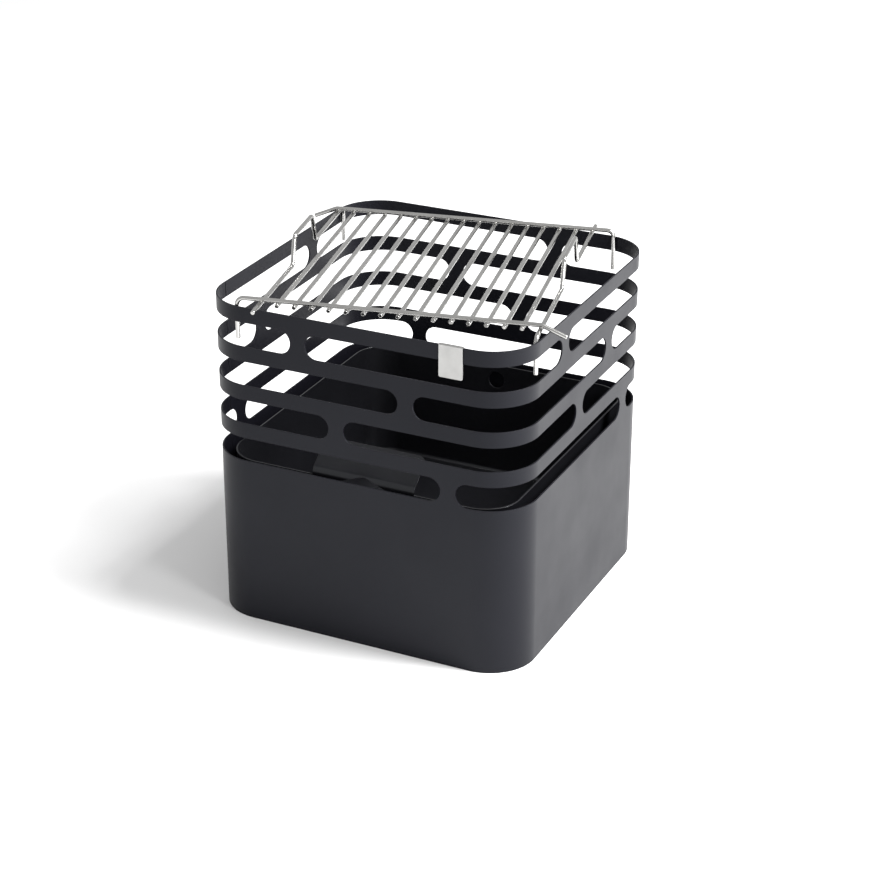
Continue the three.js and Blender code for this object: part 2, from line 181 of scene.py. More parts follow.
def foldLine(corners, radii, step=0.0002):
    # A bent line in a plane: straight runs joined by arcs of the given radii, sampled finely.
    # Returns arc length, the two coordinates and the heading angle, for np.interp.
    corners = np.array(corners, float)
    pieces = []
    begin = corners[0]
    for i in range(1, len(corners) - 1):
        come, go = unit(corners[i] - corners[i - 1]), unit(corners[i + 1] - corners[i])
        turn = math.atan2(come[0] * go[1] - come[1] * go[0], come @ go)
        cut = radii[i - 1] * math.tan(abs(turn) / 2)
        enter, leave = corners[i] - come * cut, corners[i] + go * cut
        side = math.copysign(1.0, turn)
        centre = enter + side * radii[i - 1] * np.array([-come[1], come[0]])
        count = max(6, math.ceil(abs(turn) * radii[i - 1] / step))
        swing = np.linspace(0, turn, count)
        arm = enter - centre
        arc = np.stack([
            centre[0] + arm[0] * np.cos(swing) - arm[1] * np.sin(swing),
            centre[1] + arm[0] * np.sin(swing) + arm[1] * np.cos(swing),
        ], -1)
        straight = max(2, math.ceil(np.linalg.norm(enter - begin) / step))
        pieces.append(np.linspace(begin, enter, straight, endpoint=False))
        pieces.append(arc[:-1])
        begin = leave
    straight = max(2, math.ceil(np.linalg.norm(corners[-1] - begin) / step))
    pieces.append(np.linspace(begin, corners[-1], straight))
    line = np.vstack(pieces)
    hops = np.diff(line, axis=0)
    travelled = np.concatenate([[0], np.cumsum(np.linalg.norm(hops, axis=1))])
    angle = np.unwrap(np.arctan2(hops[:, 1], hops[:, 0]))
    middle = (travelled[:-1] + travelled[1:]) / 2
    return travelled, line, np.interp(travelled, middle, angle)


def gridQuads(rows, columns):
    # Quads of a grid whose points run column by column within each row.
    index = np.arange(rows * columns).reshape(rows, columns)
    corners = (index[:-1, :-1], index[:-1, 1:], index[1:, 1:], index[1:, :-1])
    return np.stack([c.ravel() for c in corners], -1)


def finishMesh(name, points, faces, normals, material, body, wrap=None):
    mesh = bpy.data.meshes.new(name)
    mesh.from_pydata(points.tolist(), [], faces)
    mesh.shade_smooth()
    if wrap is not None:
        layer = mesh.uv_layers.new(name="barWrap")
        corner = np.zeros(len(mesh.loops), np.int32)
        mesh.loops.foreach_get("vertex_index", corner)
        layer.data.foreach_set("uv", wrap[corner].astype(np.float32).ravel())
    mesh.normals_split_custom_set_from_vertices(normals.tolist())
    mesh.materials.append(material)
    piece = bpy.data.objects.new(name, mesh)
    bpy.context.scene.collection.objects.link(piece)
    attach(piece, body)
    return piece


def cutEdge(thickness, rounding, steps=3):
    # Rows round a cut edge: distance back from the edge, depth into the sheet, and edge angle.
    turn = np.linspace(0, math.pi / 2, steps + 1)
    pull = rounding * (1 - np.sin(turn))
    depth = rounding * (1 - np.cos(turn))
    rows = np.stack([pull, depth, turn], -1)
    back = np.stack([pull, thickness - depth, math.pi - turn], -1)[::-1]
    return np.vstack([rows, back])


def makeSheet(name, flat, quads, place, sheet, look, body, period=None):
    # A bent sheet from its flat pattern: place(u, v, depth) carries the pattern into space,
    # the back is the same pattern one thickness deeper, and a rounded rim joins them at cut edges.
    # Quads squeezed to a line hide the rim beside them, so it stays open there.
    tieShift = 1.7e-8  # far below the rounding step: it only settles which way a tie rounds
    key = np.round(flat + tieShift, 7)
    if period:
        key[:, 0] = np.where(key[:, 0] > period - 1e-6, 0.0, key[:, 0])
    flat, inverse = np.unique(key, axis=0, return_inverse=True)
    quads = inverse.reshape(-1)[quads]
    count = len(flat)

    directed = np.concatenate([np.stack([quads[:, i], quads[:, (i + 1) % 4]], -1) for i in range(4)])
    directed = directed[directed[:, 0] != directed[:, 1]]
    code = directed[:, 0] * count + directed[:, 1]
    reverse = directed[:, 1] * count + directed[:, 0]
    rim = directed[~np.isin(code, reverse)]
    along = flat[rim[:, 1]] - flat[rim[:, 0]]
    if period:
        along[:, 0] = (along[:, 0] + period / 2) % period - period / 2
    out = unit(np.stack([along[:, 1], -along[:, 0]], -1))
    edgeOut = np.zeros((count, 2))
    np.add.at(edgeOut, rim[:, 0], out)
    np.add.at(edgeOut, rim[:, 1], out)
    edgeOut = unit(edgeOut)

    def spot(uv, depth):
        return place(uv[:, 0], uv[:, 1], np.full(len(uv), float(depth)))

    nudge = 1e-5
    acrossU = spot(flat + [nudge, 0], 0) - spot(flat - [nudge, 0], 0)
    acrossV = spot(flat + [0, nudge], 0) - spot(flat - [0, nudge], 0)
    faceNormal = np.cross(acrossU, acrossV)
    lost = np.linalg.norm(faceNormal, axis=1) < 1e-14
    faceNormal = unit(faceNormal)
    faceNormal[lost] = (0, 0, -1)
    edgeNormal = unit(spot(flat + edgeOut * nudge, 0) - spot(flat - edgeOut * nudge, 0))

    rows = cutEdge(sheet["thickness"], sheet["rounding"])
    front = spot(flat - edgeOut * rows[0, 0], 0)
    rear = spot(flat - edgeOut * rows[-1, 0], sheet["thickness"])
    edge = np.unique(rim)
    slotOf = np.full(count, -1)
    slotOf[edge] = np.arange(len(edge))
    points, normals = [front, rear], [faceNormal, -faceNormal]
    ids = [np.arange(count)]
    for pull, depth, turn in rows[1:-1]:
        start = sum(len(p) for p in points)
        points.append(spot(flat[edge] - edgeOut[edge] * pull, depth))
        normals.append(faceNormal[edge] * math.cos(turn) + edgeNormal[edge] * math.sin(turn))
        ids.append(np.where(slotOf >= 0, start + slotOf, -1))
    ids.append(np.arange(count) + count)
    a, b = rim[:, 0], rim[:, 1]
    belts = [np.stack([p[b], p[a], q[a], q[b]], -1) for p, q in zip(ids[:-1], ids[1:])]

    squeezed = np.zeros(len(quads), bool)
    for i in range(4):
        squeezed |= quads[:, i] == quads[:, (i + 1) % 4]
    whole = quads[~squeezed]
    thin = [list(dict.fromkeys(q)) for q in quads[squeezed].tolist()]
    thin = [q for q in thin if len(q) == 3]
    faces = whole.tolist() + thin
    faces += (whole[:, ::-1] + count).tolist() + [[i + count for i in q[::-1]] for q in thin]
    faces += np.concatenate(belts).tolist()
    return finishMesh(name, np.vstack(points), faces, np.vstack(normals), look, body)


def newGroup(name, inputs, outputs):
    group = bpy.data.node_groups.new(name, "ShaderNodeTree")
    for label, kind, value in inputs:
        socket = group.interface.new_socket(label, in_out="INPUT", socket_type=kind)
        if value is not None:
            socket.default_value = value
    for label, kind in outputs:
        group.interface.new_socket(label, in_out="OUTPUT", socket_type=kind)
    return group, group.nodes.new("NodeGroupInput"), group.nodes.new("NodeGroupOutput")


def makeGrain():
    # Fine lumps of a sprayed coat: one noise for the lumps and a finer one for the tooth.
    inputs = [("Vector", "NodeSocketVector", None), ("Scale", "NodeSocketFloat", 900.0)]
    group, entry, leave = newGroup("sprayedGrain", inputs, [("Height", "NodeSocketFloat")])
    lumps = group.nodes.new("ShaderNodeTexNoise")
    tooth = group.nodes.new("ShaderNodeTexNoise")
    lumps.inputs["Detail"].default_value = 2.0
    tooth.inputs["Detail"].default_value = 1.0
    finer = group.nodes.new("ShaderNodeMath")
    finer.operation = "MULTIPLY"
    finer.inputs[1].default_value = 3.1
    joined = group.nodes.new("ShaderNodeMath")
    joined.operation = "MULTIPLY_ADD"
    joined.inputs[1].default_value = 0.35
    links = group.links
    links.new(entry.outputs["Vector"], lumps.inputs["Vector"])
    links.new(entry.outputs["Vector"], tooth.inputs["Vector"])
    links.new(entry.outputs["Scale"], lumps.inputs["Scale"])
    links.new(entry.outputs["Scale"], finer.inputs[0])
    links.new(finer.outputs[0], tooth.inputs["Scale"])
    links.new(tooth.outputs["Fac"], joined.inputs[0])
    links.new(lumps.outputs["Fac"], joined.inputs[2])
    links.new(joined.outputs[0], leave.inputs["Height"])
    return group


def makeClouding():
    # Broad soft patches: a slow noise stretched from Low to High.
    inputs = [
        ("Vector", "NodeSocketVector", None), ("Scale", "NodeSocketFloat", 6.0),
        ("Low", "NodeSocketFloat", 0.0), ("High", "NodeSocketFloat", 1.0),
    ]
    group, entry, leave = newGroup("softClouding", inputs, [("Value", "NodeSocketFloat")])
    noise = group.nodes.new("ShaderNodeTexNoise")
    noise.inputs["Detail"].default_value = 3.0
    spread = group.nodes.new("ShaderNodeMapRange")
    spread.inputs["From Min"].default_value = 0.3
    spread.inputs["From Max"].default_value = 0.7
    links = group.links
    links.new(entry.outputs["Vector"], noise.inputs["Vector"])
    links.new(entry.outputs["Scale"], noise.inputs["Scale"])
    links.new(noise.outputs["Fac"], spread.inputs["Value"])
    links.new(entry.outputs["Low"], spread.inputs["To Min"])
    links.new(entry.outputs["High"], spread.inputs["To Max"])
    links.new(spread.outputs["Result"], leave.inputs["Value"])
    return group


def makeLines():
    # Drawing or brushing marks: noise squeezed across the grain and stretched along it.
    inputs = [("Vector", "NodeSocketVector", None), ("Stretch", "NodeSocketVector", (1.0, 1.0, 1.0))]
    group, entry, leave = newGroup("drawnLines", inputs, [("Height", "NodeSocketFloat")])
    stretch = group.nodes.new("ShaderNodeVectorMath")
    stretch.operation = "MULTIPLY"
    noise = group.nodes.new("ShaderNodeTexNoise")
    noise.inputs["Scale"].default_value = 1.0
    noise.inputs["Detail"].default_value = 3.0
    links = group.links
    links.new(entry.outputs["Vector"], stretch.inputs[0])
    links.new(entry.outputs["Stretch"], stretch.inputs[1])
    links.new(stretch.outputs["Vector"], noise.inputs["Vector"])
    links.new(noise.outputs["Fac"], leave.inputs["Height"])
    return group


groups = {"grain": makeGrain(), "clouding": makeClouding(), "lines": makeLines()}

finishes = {
    "powderCoat": {
        "tint": (0.90, 0.94, 1.0, 1.0),
        "color": (0.0056, 0.0055, 0.0082, 1.0), "pale": (0.0071, 0.0070, 0.0100, 1.0),
        "metallic": 0.0, "specular": 0.17, "roughLow": 0.38, "roughHigh": 0.46,
        "grainScale": 1100.0, "grainDepth": 0.00002, "grainStrength": 0.30, "cloudScale": 7.0,
    },
    "bowlCoat": {
        "tint": (0.92, 0.95, 1.0, 1.0),
        "color": (0.0050, 0.0050, 0.0062, 1.0), "pale": (0.0064, 0.0064, 0.0080, 1.0),
        "metallic": 0.0, "specular": 0.50, "roughLow": 0.28, "roughHigh": 0.33,
        "grainScale": 1500.0, "grainDepth": 0.000012, "grainStrength": 0.20, "cloudScale": 9.0,
    },
    "drawnBar": {
        "color": (0.42, 0.415, 0.405, 1.0), "pale": (0.54, 0.535, 0.52, 1.0),
        "metallic": 1.0, "specular": 0.5, "roughLow": 0.14, "roughHigh": 0.24,
        "stretch": (26.0, 9.0, 1.0), "lineDepth": 0.00003, "lineStrength": 0.15, "cloudScale": 14.0,
    },
    "satinPlate": {
        "color": (0.39, 0.388, 0.38, 1.0), "pale": (0.46, 0.457, 0.448, 1.0),
        "metallic": 1.0, "specular": 0.5, "roughLow": 0.34, "roughHigh": 0.44,
        "stretch": (2600.0, 2600.0, 60.0), "lineDepth": 0.00002, "lineStrength": 0.3,
        "cloudScale": 60.0,
    },
}


def newFinish(name, settings, coordinates):
    # The parts that every finish shares: patches of colour and roughness over the surface.
    look = bpy.data.materials.new(name)
    look.use_nodes = True
    tree = look.node_tree
    shader = tree.nodes["Principled BSDF"]
    shader.inputs["Metallic"].default_value = settings["metallic"]
    shader.inputs["Specular IOR Level"].default_value = settings["specular"]
    where = tree.nodes.new("ShaderNodeTexCoord")
    source = where.outputs[coordinates]
    patches = tree.nodes.new("ShaderNodeGroup")
    patches.node_tree = groups["clouding"]
    patches.inputs["Scale"].default_value = settings["cloudScale"]
    tree.links.new(where.outputs["Object"], patches.inputs["Vector"])
    paint = tree.nodes.new("ShaderNodeMix")
    paint.data_type = "RGBA"
    paint.inputs[6].default_value = settings["color"]
    paint.inputs[7].default_value = settings["pale"]
    tree.links.new(patches.outputs["Value"], paint.inputs[0])
    tree.links.new(paint.outputs[2], shader.inputs["Base Color"])
    dullness = tree.nodes.new("ShaderNodeGroup")
    dullness.node_tree = groups["clouding"]
    dullness.inputs["Scale"].default_value = settings["cloudScale"] * 1.7
    dullness.inputs["Low"].default_value = settings["roughLow"]
    dullness.inputs["High"].default_value = settings["roughHigh"]
    tree.links.new(where.outputs["Object"], dullness.inputs["Vector"])
    tree.links.new(dullness.outputs["Value"], shader.inputs["Roughness"])
    return look, tree, shader, source


def addRelief(tree, shader, height, strength, depth):
    bump = tree.nodes.new("ShaderNodeBump")
    bump.inputs["Strength"].default_value = strength
    bump.inputs["Distance"].default_value = depth
    tree.links.new(height, bump.inputs["Height"])
    tree.links.new(bump.outputs["Normal"], shader.inputs["Normal"])


def makeCoat(name):
    settings = finishes[name]
    look, tree, shader, source = newFinish(name, settings, "Object")
    shader.inputs["Specular Tint"].default_value = settings["tint"]
    grain = tree.nodes.new("ShaderNodeGroup")
    grain.node_tree = groups["grain"]
    grain.inputs["Scale"].default_value = settings["grainScale"]
    tree.links.new(source, grain.inputs["Vector"])
    addRelief(tree, shader, grain.outputs["Height"], settings["grainStrength"], settings["grainDepth"])
    return look


def makeBrushed(name, coordinates):
    settings = finishes[name]
    look, tree, shader, source = newFinish(name, settings, coordinates)
    lines = tree.nodes.new("ShaderNodeGroup")
    lines.node_tree = groups["lines"]
    lines.inputs["Stretch"].default_value = settings["stretch"]
    tree.links.new(source, lines.inputs["Vector"])
    addRelief(tree, shader, lines.outputs["Height"], settings["lineStrength"], settings["lineDepth"])
    return look


powderCoat = makeCoat("powderCoat")
bowlCoat = makeCoat("bowlCoat")
drawnBar = makeBrushed("drawnBar", "UV")
satinPlate = makeBrushed("satinPlate", "Object")
print("finishes are mixed")

casing = {
    "cornerRadius": 0.060,
    "bandHeight": 0.0195,
    "slotHeight": 0.031,
    "bridgeWidth": 0.0195,
    "bridgeShares": (-0.179, 0.157, -0.062, 0.288),
    "thickness": 0.002,
    "rounding": 0.00025,
    "seamFromCorner": 0.003,
    "seamGap": 0.0010,
    "widestColumn": 0.006,
    "columnsPerCorner": 26,
    "bridgeRows": 16,
    "bridgeColumns": 12,
    "bandRows": 4,
    "skirtRows": 12,
}


def casingColumns(size, seam, spans):
    # Columns of the flat pattern: the seam, every change of curve, and each bridge's sides.
    knots, total = ringKnots(size)
    both = np.concatenate([knots, knots + total])
    marks = [seam + casing["seamGap"] / 2, seam + total - casing["seamGap"] / 2]
    inside = both[(both > marks[0]) & (both < marks[1])]
    corners = [
        np.linspace(a, b, casing["columnsPerCorner"])
        for a, b in zip(both[:-1], both[1:])
        if abs((b - a) - math.pi * size[2] / 2) < 1e-9 and a > marks[0] and b < marks[1]
    ]
    edges = np.concatenate([np.linspace(lo, hi, casing["bridgeColumns"] + 1) for lo, hi in spans])
    return fillKnots(np.concatenate([marks, inside, edges, *corners]), casing["widestColumn"])


def makeCasing():
    low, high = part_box("casing_shell")
    size = (high.x - low.x, high.y - low.y, casing["cornerRadius"])
    knots, total = ringKnots(size)
    faceMiddles = np.array([
        0.0, (knots[2] + knots[3]) / 2, (knots[4] + knots[5]) / 2, (knots[6] + knots[7]) / 2,
    ])
    faceWidths = np.array([size[0], size[1], size[0], size[1]])
    seam = knots[7] - casing["seamFromCorner"] - total
    slotRadius = casing["slotHeight"] / 2
    reach = casing["bridgeWidth"] / 2 + slotRadius
    pitch = casing["bandHeight"] + casing["slotHeight"]

    def bridgeMiddles(share):
        middles = faceMiddles + share * faceWidths
        return np.where(middles < seam, middles + total, middles)

    allMiddles = np.concatenate([bridgeMiddles(share) for share in casing["bridgeShares"]])
    allMiddles = np.where(allMiddles - reach < seam, allMiddles + total, allMiddles)
    columns = casingColumns(size, seam, [(m - reach, m + reach) for m in allMiddles])

    grids = []
    foot = high.z - len(casing["bridgeShares"]) * pitch
    levels = [np.linspace(low.z, foot, casing["skirtRows"] + 1)]
    for row in range(len(casing["bridgeShares"])):
        top = high.z - row * pitch
        levels.append(np.linspace(top - casing["bandHeight"], top, casing["bandRows"] + 1))
    for rows in levels:
        u, v = np.meshgrid(columns, rows)
        grids.append((u, v))

    # A bridge narrows from its feet to its middle: half width = narrowest + radius - circle.
    swing = np.linspace(0, math.pi, casing["bridgeRows"] + 1)
    for row, share in enumerate(casing["bridgeShares"]):
        middleZ = high.z - casing["bandHeight"] - slotRadius - row * pitch
        for middle in bridgeMiddles(share):
            own = columns[(columns > middle - reach - 1e-6) & (columns < middle + reach + 1e-6)]
            acrossShare = (own - middle) / reach
            half = reach - slotRadius * np.sin(swing)
            u = middle + acrossShare[None, :] * half[:, None]
            v = np.repeat((middleZ - slotRadius * np.cos(swing))[:, None], len(own), axis=1)
            grids.append((u, v))

    flat, quads, start = [], [], 0
    for u, v in grids:
        flat.append(np.stack([u.ravel(), v.ravel()], -1))
        quads.append(gridQuads(*u.shape) + start)
        start += u.size

    def place(u, v, depth):
        spot, _ = roundRing(u, depth, size)
        return np.column_stack([spot, v])

    piece = makeSheet(
        "casingShell", np.vstack(flat), np.vstack(quads), place, casing,
        powderCoat, "casing",
    )
    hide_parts("casing_shell")
    print("casing:", len(piece.data.polygons), "faces")


makeCasing()


def endCurve(across, half, radius):
    # How far a rounded corner takes the end back: zero in the middle, one radius at the side.
    past = np.clip(np.abs(across) - (half - radius), 0, radius)
    return radius - np.sqrt(np.maximum(radius ** 2 - past ** 2, 0))


def makeStrip(name, node, settings, corners, radii, half, middle, turn, look):
    # A strip bent along a line in Y and Z: across runs in X, and the whole turns about Z.
    travelled, line, heading = foldLine(corners, radii)
    length = travelled[-1]
    radius = settings["cornerRadius"]
    arc = half - radius + radius * np.sin(np.linspace(0, math.pi / 2, settings["cornerColumns"]))
    flatPart = np.linspace(-(half - radius), half - radius, settings["columns"])
    across = np.unique(np.round(np.concatenate([-arc, flatPart, arc]), 7))
    rows = np.linspace(0, 1, settings["rows"])
    back = endCurve(across, half, radius)
    u = np.repeat(across[None, :], len(rows), axis=0)
    v = back[None, :] + rows[:, None] * (length - 2 * back[None, :])
    cosTurn, sinTurn = math.cos(turn), math.sin(turn)

    def place(u, v, depth):
        y = np.interp(v, travelled, line[:, 0])
        z = np.interp(v, travelled, line[:, 1])
        angle = np.interp(v, travelled, heading)
        y = y + depth * np.sin(angle)
        z = z - depth * np.cos(angle)
        x = u + middle
        return np.column_stack([x * cosTurn - y * sinTurn, x * sinTurn + y * cosTurn, z])

    flat = np.stack([u.ravel(), v.ravel()], -1)
    piece = makeSheet(name, flat, gridQuads(*u.shape), place, settings, look, "casing")
    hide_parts(node)
    return piece


plate = {
    "thickness": 0.001, "rounding": 0.00018, "foldRadius": 0.0013, "cornerRadius": 0.0025,
    "tuck": 0.016, "columns": 7, "cornerColumns": 7, "rows": 120,
}
ledge = {
    "thickness": 0.003, "rounding": 0.0004, "foldRadius": 0.005, "cornerRadius": 0.003,
    "columns": 9, "cornerColumns": 5, "rows": 60,
}


def makePlate():
    low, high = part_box("name_plate")
    corners = [(low.y, low.z), (low.y, high.z), (high.y, high.z), (high.y, high.z - plate["tuck"])]
    radii = [plate["foldRadius"]] * 2
    half, middle = (high.x - low.x) / 2, (high.x + low.x) / 2
    makeStrip("namePlate", "name_plate", plate, corners, radii, half, middle, 0.0, satinPlate)


def makeLedges():
    for face, side in enumerate(("front", "right", "back", "left")):
        low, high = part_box("bowl_ledge_" + side)
        turn = face * math.pi / 2
        points = np.array([(low.x, low.y), (high.x, high.y)])
        # the ledge's own box as it lies on the front wall, before its quarter turns
        back = np.array([(math.cos(turn), math.sin(turn)), (-math.sin(turn), math.cos(turn))])
        own = points @ back.T
        outer, inner = own[:, 1].min(), own[:, 1].max()
        half = np.ptp(own[:, 0]) / 2
        corners = [(outer, low.z), (outer, high.z), (inner, high.z)]
        makeStrip(
            "bowlLedge" + side.capitalize(), "bowl_ledge_" + side, ledge, corners,
            [ledge["foldRadius"]], half, own[:, 0].mean(), turn, powderCoat,
        )


makePlate()
makeLedges()
print("name plate and ledges are folded")

bowl = {
    "cornerRadius": 0.046, "thickness": 0.002, "rounding": 0.0003,
    "rim": 0.215, "draft": 0.06, "bend": 0.008, "fold": 0.013,
    "tabShift": 0.004, "tabHalf": 0.0685, "tabCorner": 0.012, "tabRise": 0.007, "tabLean": 54.0,
    "gripHalf": 0.040, "gripTop": 0.0083, "gripShoulder": -0.006, "gripBottom": -0.016,
    "gripSplit": -0.010, "gripSoft": 0.005, "gripCorner": 0.006,
    "holeRadius": 0.0115, "holeDrop": 0.021,
    "widestColumn": 0.008, "columnsPerCorner": 20, "floorReach": 0.09,
    "rimEase": 0.0005, "splitFrom": 0.12, "splitRun": 0.3, "evenWall": -0.045, "evenTab": 0.030,
}


def bowlProfile(base):
    # The bowl's section from the middle of its floor, round the bend, up the wall to the rim and
    # on up the tab: straight for the rise, then leaning inward. Also gives the inset where the floor's flat
    # part begins.
    foot = (bowl["rim"] - base) * bowl["draft"]
    floorEnd = (foot + bowl["bend"] + bowl["floorReach"], base)
    lean = math.radians(bowl["tabLean"])
    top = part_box("bowl_box")[1].z
    foldZ = bowl["rim"] + bowl["tabRise"]
    tip = ((top - foldZ) * math.tan(lean), top)
    profile = foldLine(
        [floorEnd, (foot, base), (0.0, bowl["rim"]), (0.0, foldZ), tip],
        [bowl["bend"], bowl["rimEase"], bowl["fold"]],
    )
    return profile, foot + bowl["bend"]


def makeBowl():
    low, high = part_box("bowl_box")
    size = (high.x - low.x, high.y - low.y, bowl["cornerRadius"])
    knots, total = ringKnots(size)
    (travelled, line, heading), flatInset = bowlProfile(low.z)
    onWall = line[:, 1] > bowl["rim"] - 0.05
    rimAt = np.interp(bowl["rim"], line[onWall, 1], travelled[onWall])
    tabTop = travelled[-1] - rimAt

    def fromTab(u):
        return (u - bowl["tabShift"] + total / 2) % total - total / 2

    def alongAt(rise):
        # Travel past the rim for a given height above it, up the wall and the tab.
        return np.interp(bowl["rim"] + rise, line[onWall, 1], travelled[onWall]) - rimAt

    hole, half = bowl["holeRadius"], bowl["gripHalf"]
    tabHalf, tabCorner = bowl["tabHalf"], bowl["tabCorner"]
    corner = tabHalf - tabCorner + tabCorner * np.sin(np.linspace(0, math.pi / 2, 9))
    soft = np.linspace(-2 * bowl["gripSoft"], 2 * bowl["gripSoft"], 9)
    turnIn = half - bowl["gripCorner"] + bowl["gripCorner"] * np.sin(np.linspace(0, math.pi / 2, 6))
    tabMarks = np.concatenate([corner, -corner, turnIn, -turnIn, soft, [tabHalf, -tabHalf]])
    arcs = [
        np.linspace(a, b, bowl["columnsPerCorner"])
        for a, b in ((knots[1], knots[2]), (knots[3], knots[4]), (knots[5], knots[6]), (knots[7], knots[8]))
    ]
    swing = np.linspace(0, math.pi, 25)
    marks = np.concatenate([
        (tabMarks + bowl["tabShift"]) % total, total / 2 + hole * np.cos(swing), knots, *arcs,
    ])
    columns = fillKnots(marks, bowl["widestColumn"])

    # A split line runs round the wall. Each opening parts it into a lower and an upper edge:
    # the grip between its flat sill and its gable, the hole between the halves of its circle.
    across, rear = fromTab(columns), columns - total / 2
    front = np.abs(across)
    share = np.clip((front - bowl["splitFrom"]) / bowl["splitRun"], 0, 1)
    split = bowl["gripSplit"] * (1 - share) - bowl["holeDrop"] * share
    inGrip, inHole = front < half - 1e-9, np.abs(rear) < hole - 1e-9
    past = np.clip(front - (half - bowl["gripCorner"]), 0, bowl["gripCorner"]) / bowl["gripCorner"]
    lift = 1 - np.sqrt(np.maximum(1 - past ** 2, 0))
    sill = bowl["gripBottom"] + (bowl["gripSplit"] - bowl["gripBottom"]) * lift
    slope = (bowl["gripTop"] - bowl["gripShoulder"]) / (half - 0.5 * bowl["gripSoft"])
    gable = bowl["gripTop"] - slope * (np.hypot(front, bowl["gripSoft"]) - bowl["gripSoft"])
    gable = np.maximum(gable, bowl["gripSplit"])
    gable = gable + (bowl["gripSplit"] - gable) * np.clip(past * 2 - 1, 0, 1) ** 3
    circle = np.sqrt(np.maximum(hole ** 2 - rear ** 2, 0))
    lower = np.where(inGrip, sill, np.where(inHole, -bowl["holeDrop"] - circle, split))
    upper = np.where(inGrip, alongAt(gable), np.where(inHole, -bowl["holeDrop"] + circle, split))

    # Rows below the split: floor, bend, wall, then closing onto the lower edge.
    calm = bowl["evenWall"]
    bendEnd = bowl["floorReach"] + bowl["bend"] * math.pi / 2
    fixed = np.concatenate([
        np.linspace(0, bowl["floorReach"], 8)[:-1],
        np.linspace(bowl["floorReach"], bendEnd, 9)[:-1],
    ]) - rimAt
    fixed = np.concatenate([fixed, np.linspace(bendEnd - rimAt, calm, 9)])
    closing = np.linspace(0, 1, 9)[1:]
    lowerV = np.vstack([
        np.repeat(fixed[:, None], len(columns), axis=1),
        calm + closing[:, None] * (lower - calm)[None, :],
    ])
    lowerU = np.repeat(columns[None, :], len(lowerV), axis=0)
    lowerU[0] = 0.0  # the middle of the floor is one point

    # Rows above it: up to the rim all round, and on up the tab between its sides.
    wallRows = np.linspace(0, 1, 9)
    wallU = np.repeat(columns[None, :], len(wallRows), axis=0)
    wallV = upper[None, :] * (1 - wallRows)[:, None]
    isTab = front <= tabHalf + 1e-9
    order = np.argsort(across[isTab])
    tabU, tabUpper = columns[isTab][order], upper[isTab][order]
    tabBack = endCurve(across[isTab][order], tabHalf, tabCorner)
    belowRows = np.linspace(0, 1, 9)[:-1]
    calmTab = bowl["evenTab"]
    nearTop = max(calmTab, tabTop - 1.4 * tabCorner)
    riseStart = np.maximum(tabUpper, 0.0)
    tabV = np.vstack([
        tabUpper[None, :] + belowRows[:, None] * (riseStart - tabUpper)[None, :],
        riseStart[None, :] + np.linspace(0, 1, 25)[:-1, None] * (calmTab - riseStart)[None, :],
        np.repeat(np.linspace(calmTab, nearTop, 3)[:-1, None], len(tabU), axis=1),
        nearTop + np.linspace(0, 1, 9)[:, None] * (tabTop - tabBack - nearTop)[None, :],
    ])
    tabGridU = np.repeat(tabU[None, :], len(tabV), axis=0)

    flat, quads, start = [], [], 0
    outside = (front[:-1] > tabHalf - 1e-9) & (front[1:] > tabHalf - 1e-9)
    wallQuads = gridQuads(*wallU.shape).reshape(len(wallRows) - 1, len(columns) - 1, 4)
    for u, v, own in (
        (lowerU, lowerV, gridQuads(*lowerU.shape)),
        (wallU, wallV, wallQuads[:, outside].reshape(-1, 4)),
        (tabGridU, tabV, gridQuads(*tabGridU.shape)),
    ):
        flat.append(np.stack([u.ravel(), v.ravel()], -1))
        quads.append(own + start)
        start += u.size

    def place(u, v, depth):
        at = v + rimAt
        inset = np.interp(at, travelled, line[:, 0])
        z = np.interp(at, travelled, line[:, 1])
        angle = np.interp(at, travelled, heading)
        # a heading of 90 degrees runs straight up the wall, 180 degrees outward along the floor
        reach = inset + depth * np.sin(angle)
        onFloor = at < bendEnd
        reach = np.where(onFloor, np.minimum(reach, flatInset + depth), reach)
        spot, _ = roundRing(u, reach, size)
        left = np.where(onFloor, np.clip((inset - flatInset) / bowl["floorReach"], 0, 1), 0.0)
        spot = spot * (1 - left)[:, None]
        return np.column_stack([spot, z - depth * np.cos(angle)])

    piece = makeSheet(
        "bowlBox", np.vstack(flat), np.vstack(quads), place, bowl,
        bowlCoat, "bowl", period=total,
    )
    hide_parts("bowl_box")
    print("bowl:", len(piece.data.polygons), "faces")


makeBowl()

grate = {
    "turn": 12.0, "sides": 24, "chamfer": 0.0012,
    "legBend": 0.009, "hookBend": 0.008, "hookSlope": 0.42, "hookStart": 0.0014,
    "handleFoot": 0.097, "handleTop": 0.074, "handleShift": 0.013, "handleBend": 0.008,
    "bendStep": 0.0012,
    "weldWide": 0.0021, "weldHigh": 0.0011,
}
turnGrate = math.radians(grate["turn"])
barLow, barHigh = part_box("grate_cross_bar_01")
grate["radius"] = (barHigh.z - barLow.z) / 2


def turnedBox(node):
    # Lowest and highest corner of a grate bar in the grate's own axes, before its turn.
    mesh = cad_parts[node].data
    points = np.zeros(len(mesh.vertices) * 3, np.float32)
    mesh.vertices.foreach_get("co", points)
    points = points.reshape(-1, 3).astype(float)
    cosTurn, sinTurn = math.cos(turnGrate), math.sin(turnGrate)
    own = np.column_stack([
        points[:, 0] * cosTurn + points[:, 1] * sinTurn,
        -points[:, 0] * sinTurn + points[:, 1] * cosTurn,
        points[:, 2],
    ])
    return own.min(axis=0), own.max(axis=0)


